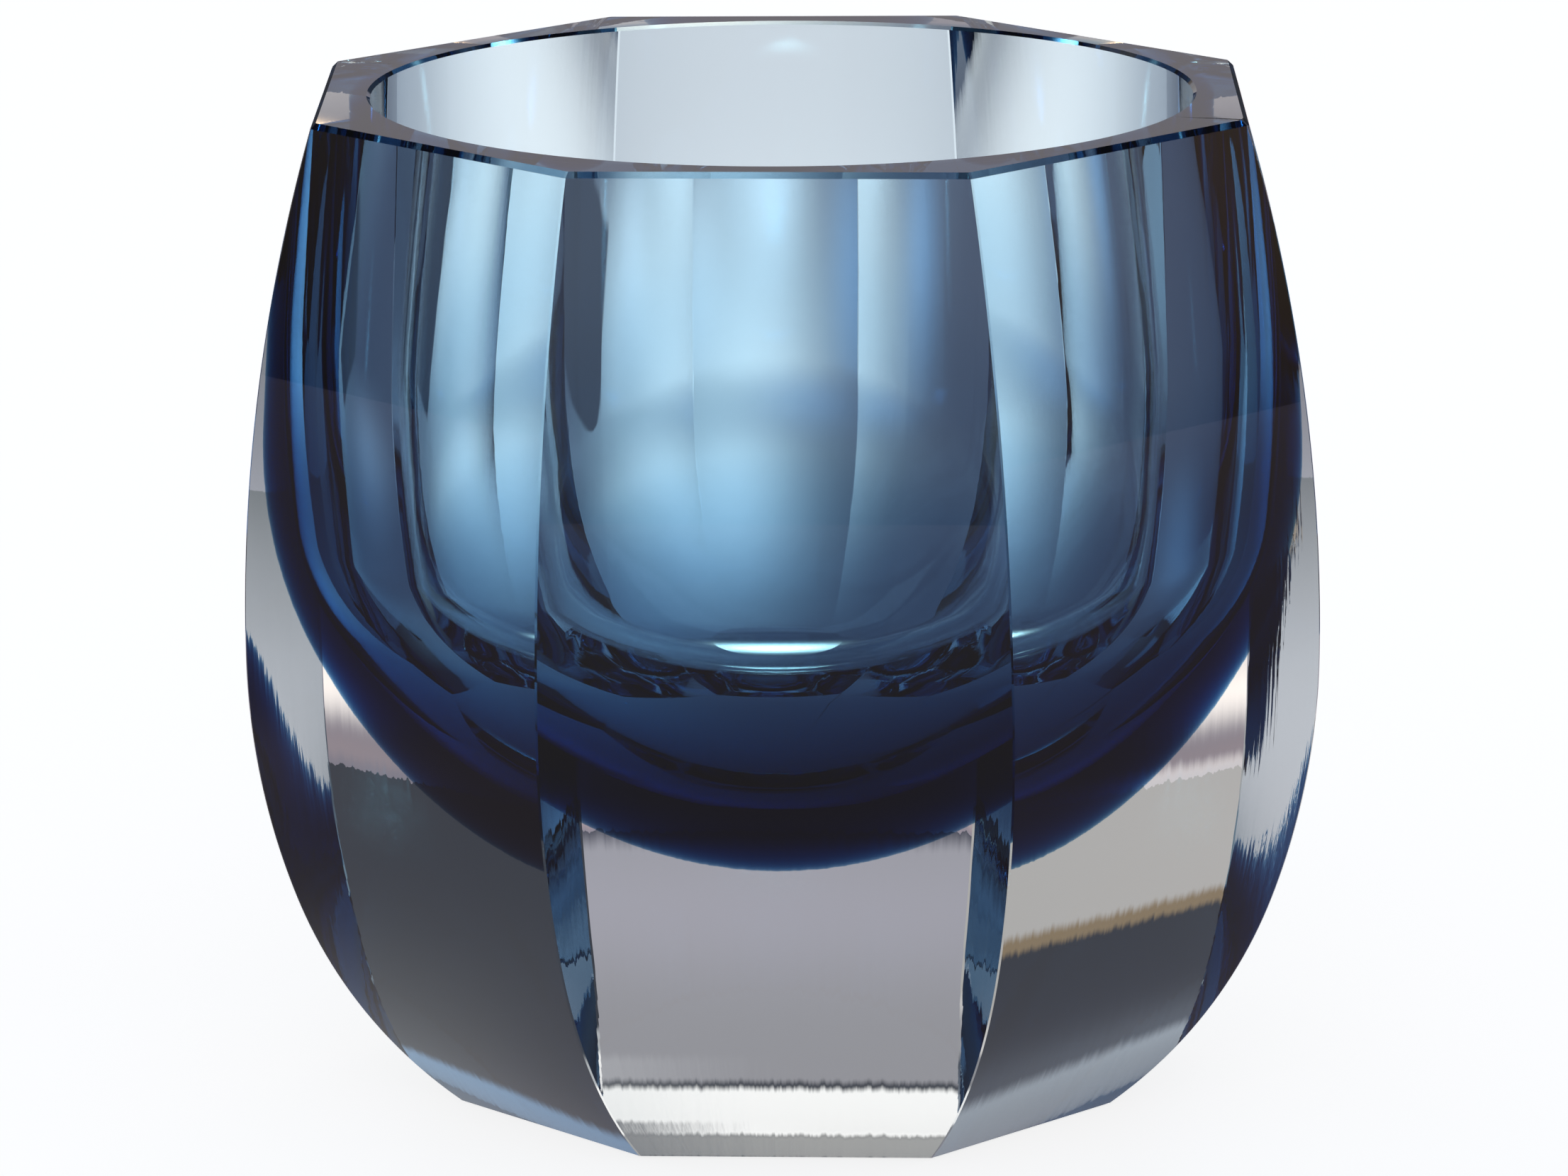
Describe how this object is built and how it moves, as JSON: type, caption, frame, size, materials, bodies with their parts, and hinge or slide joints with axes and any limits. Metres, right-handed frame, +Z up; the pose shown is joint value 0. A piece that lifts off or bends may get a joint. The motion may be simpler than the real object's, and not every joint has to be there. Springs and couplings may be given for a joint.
{
  "type": "vase",
  "caption": "Free-standing vase of faceted clear crystal, barrel-shaped and eight-sided, cased over a round dark blue inner layer around a deep cavity.",
  "frame": {"origin": "centre of the resting face, on the vase's vertical axis", "axes": "+Z up along the vase's axis, towards the open rim; -Y square to one flat, the front; +X to the right as seen from the front"},
  "size_m": [0.154, 0.154, 0.146],
  "materials": {
    "clear_crystal": "polished",
    "blue_glass": "polished"
  },
  "bodies": {
    "root": {"clear_casing": "clear_crystal", "blue_lining": "blue_glass"}
  },
  "joints": []
}
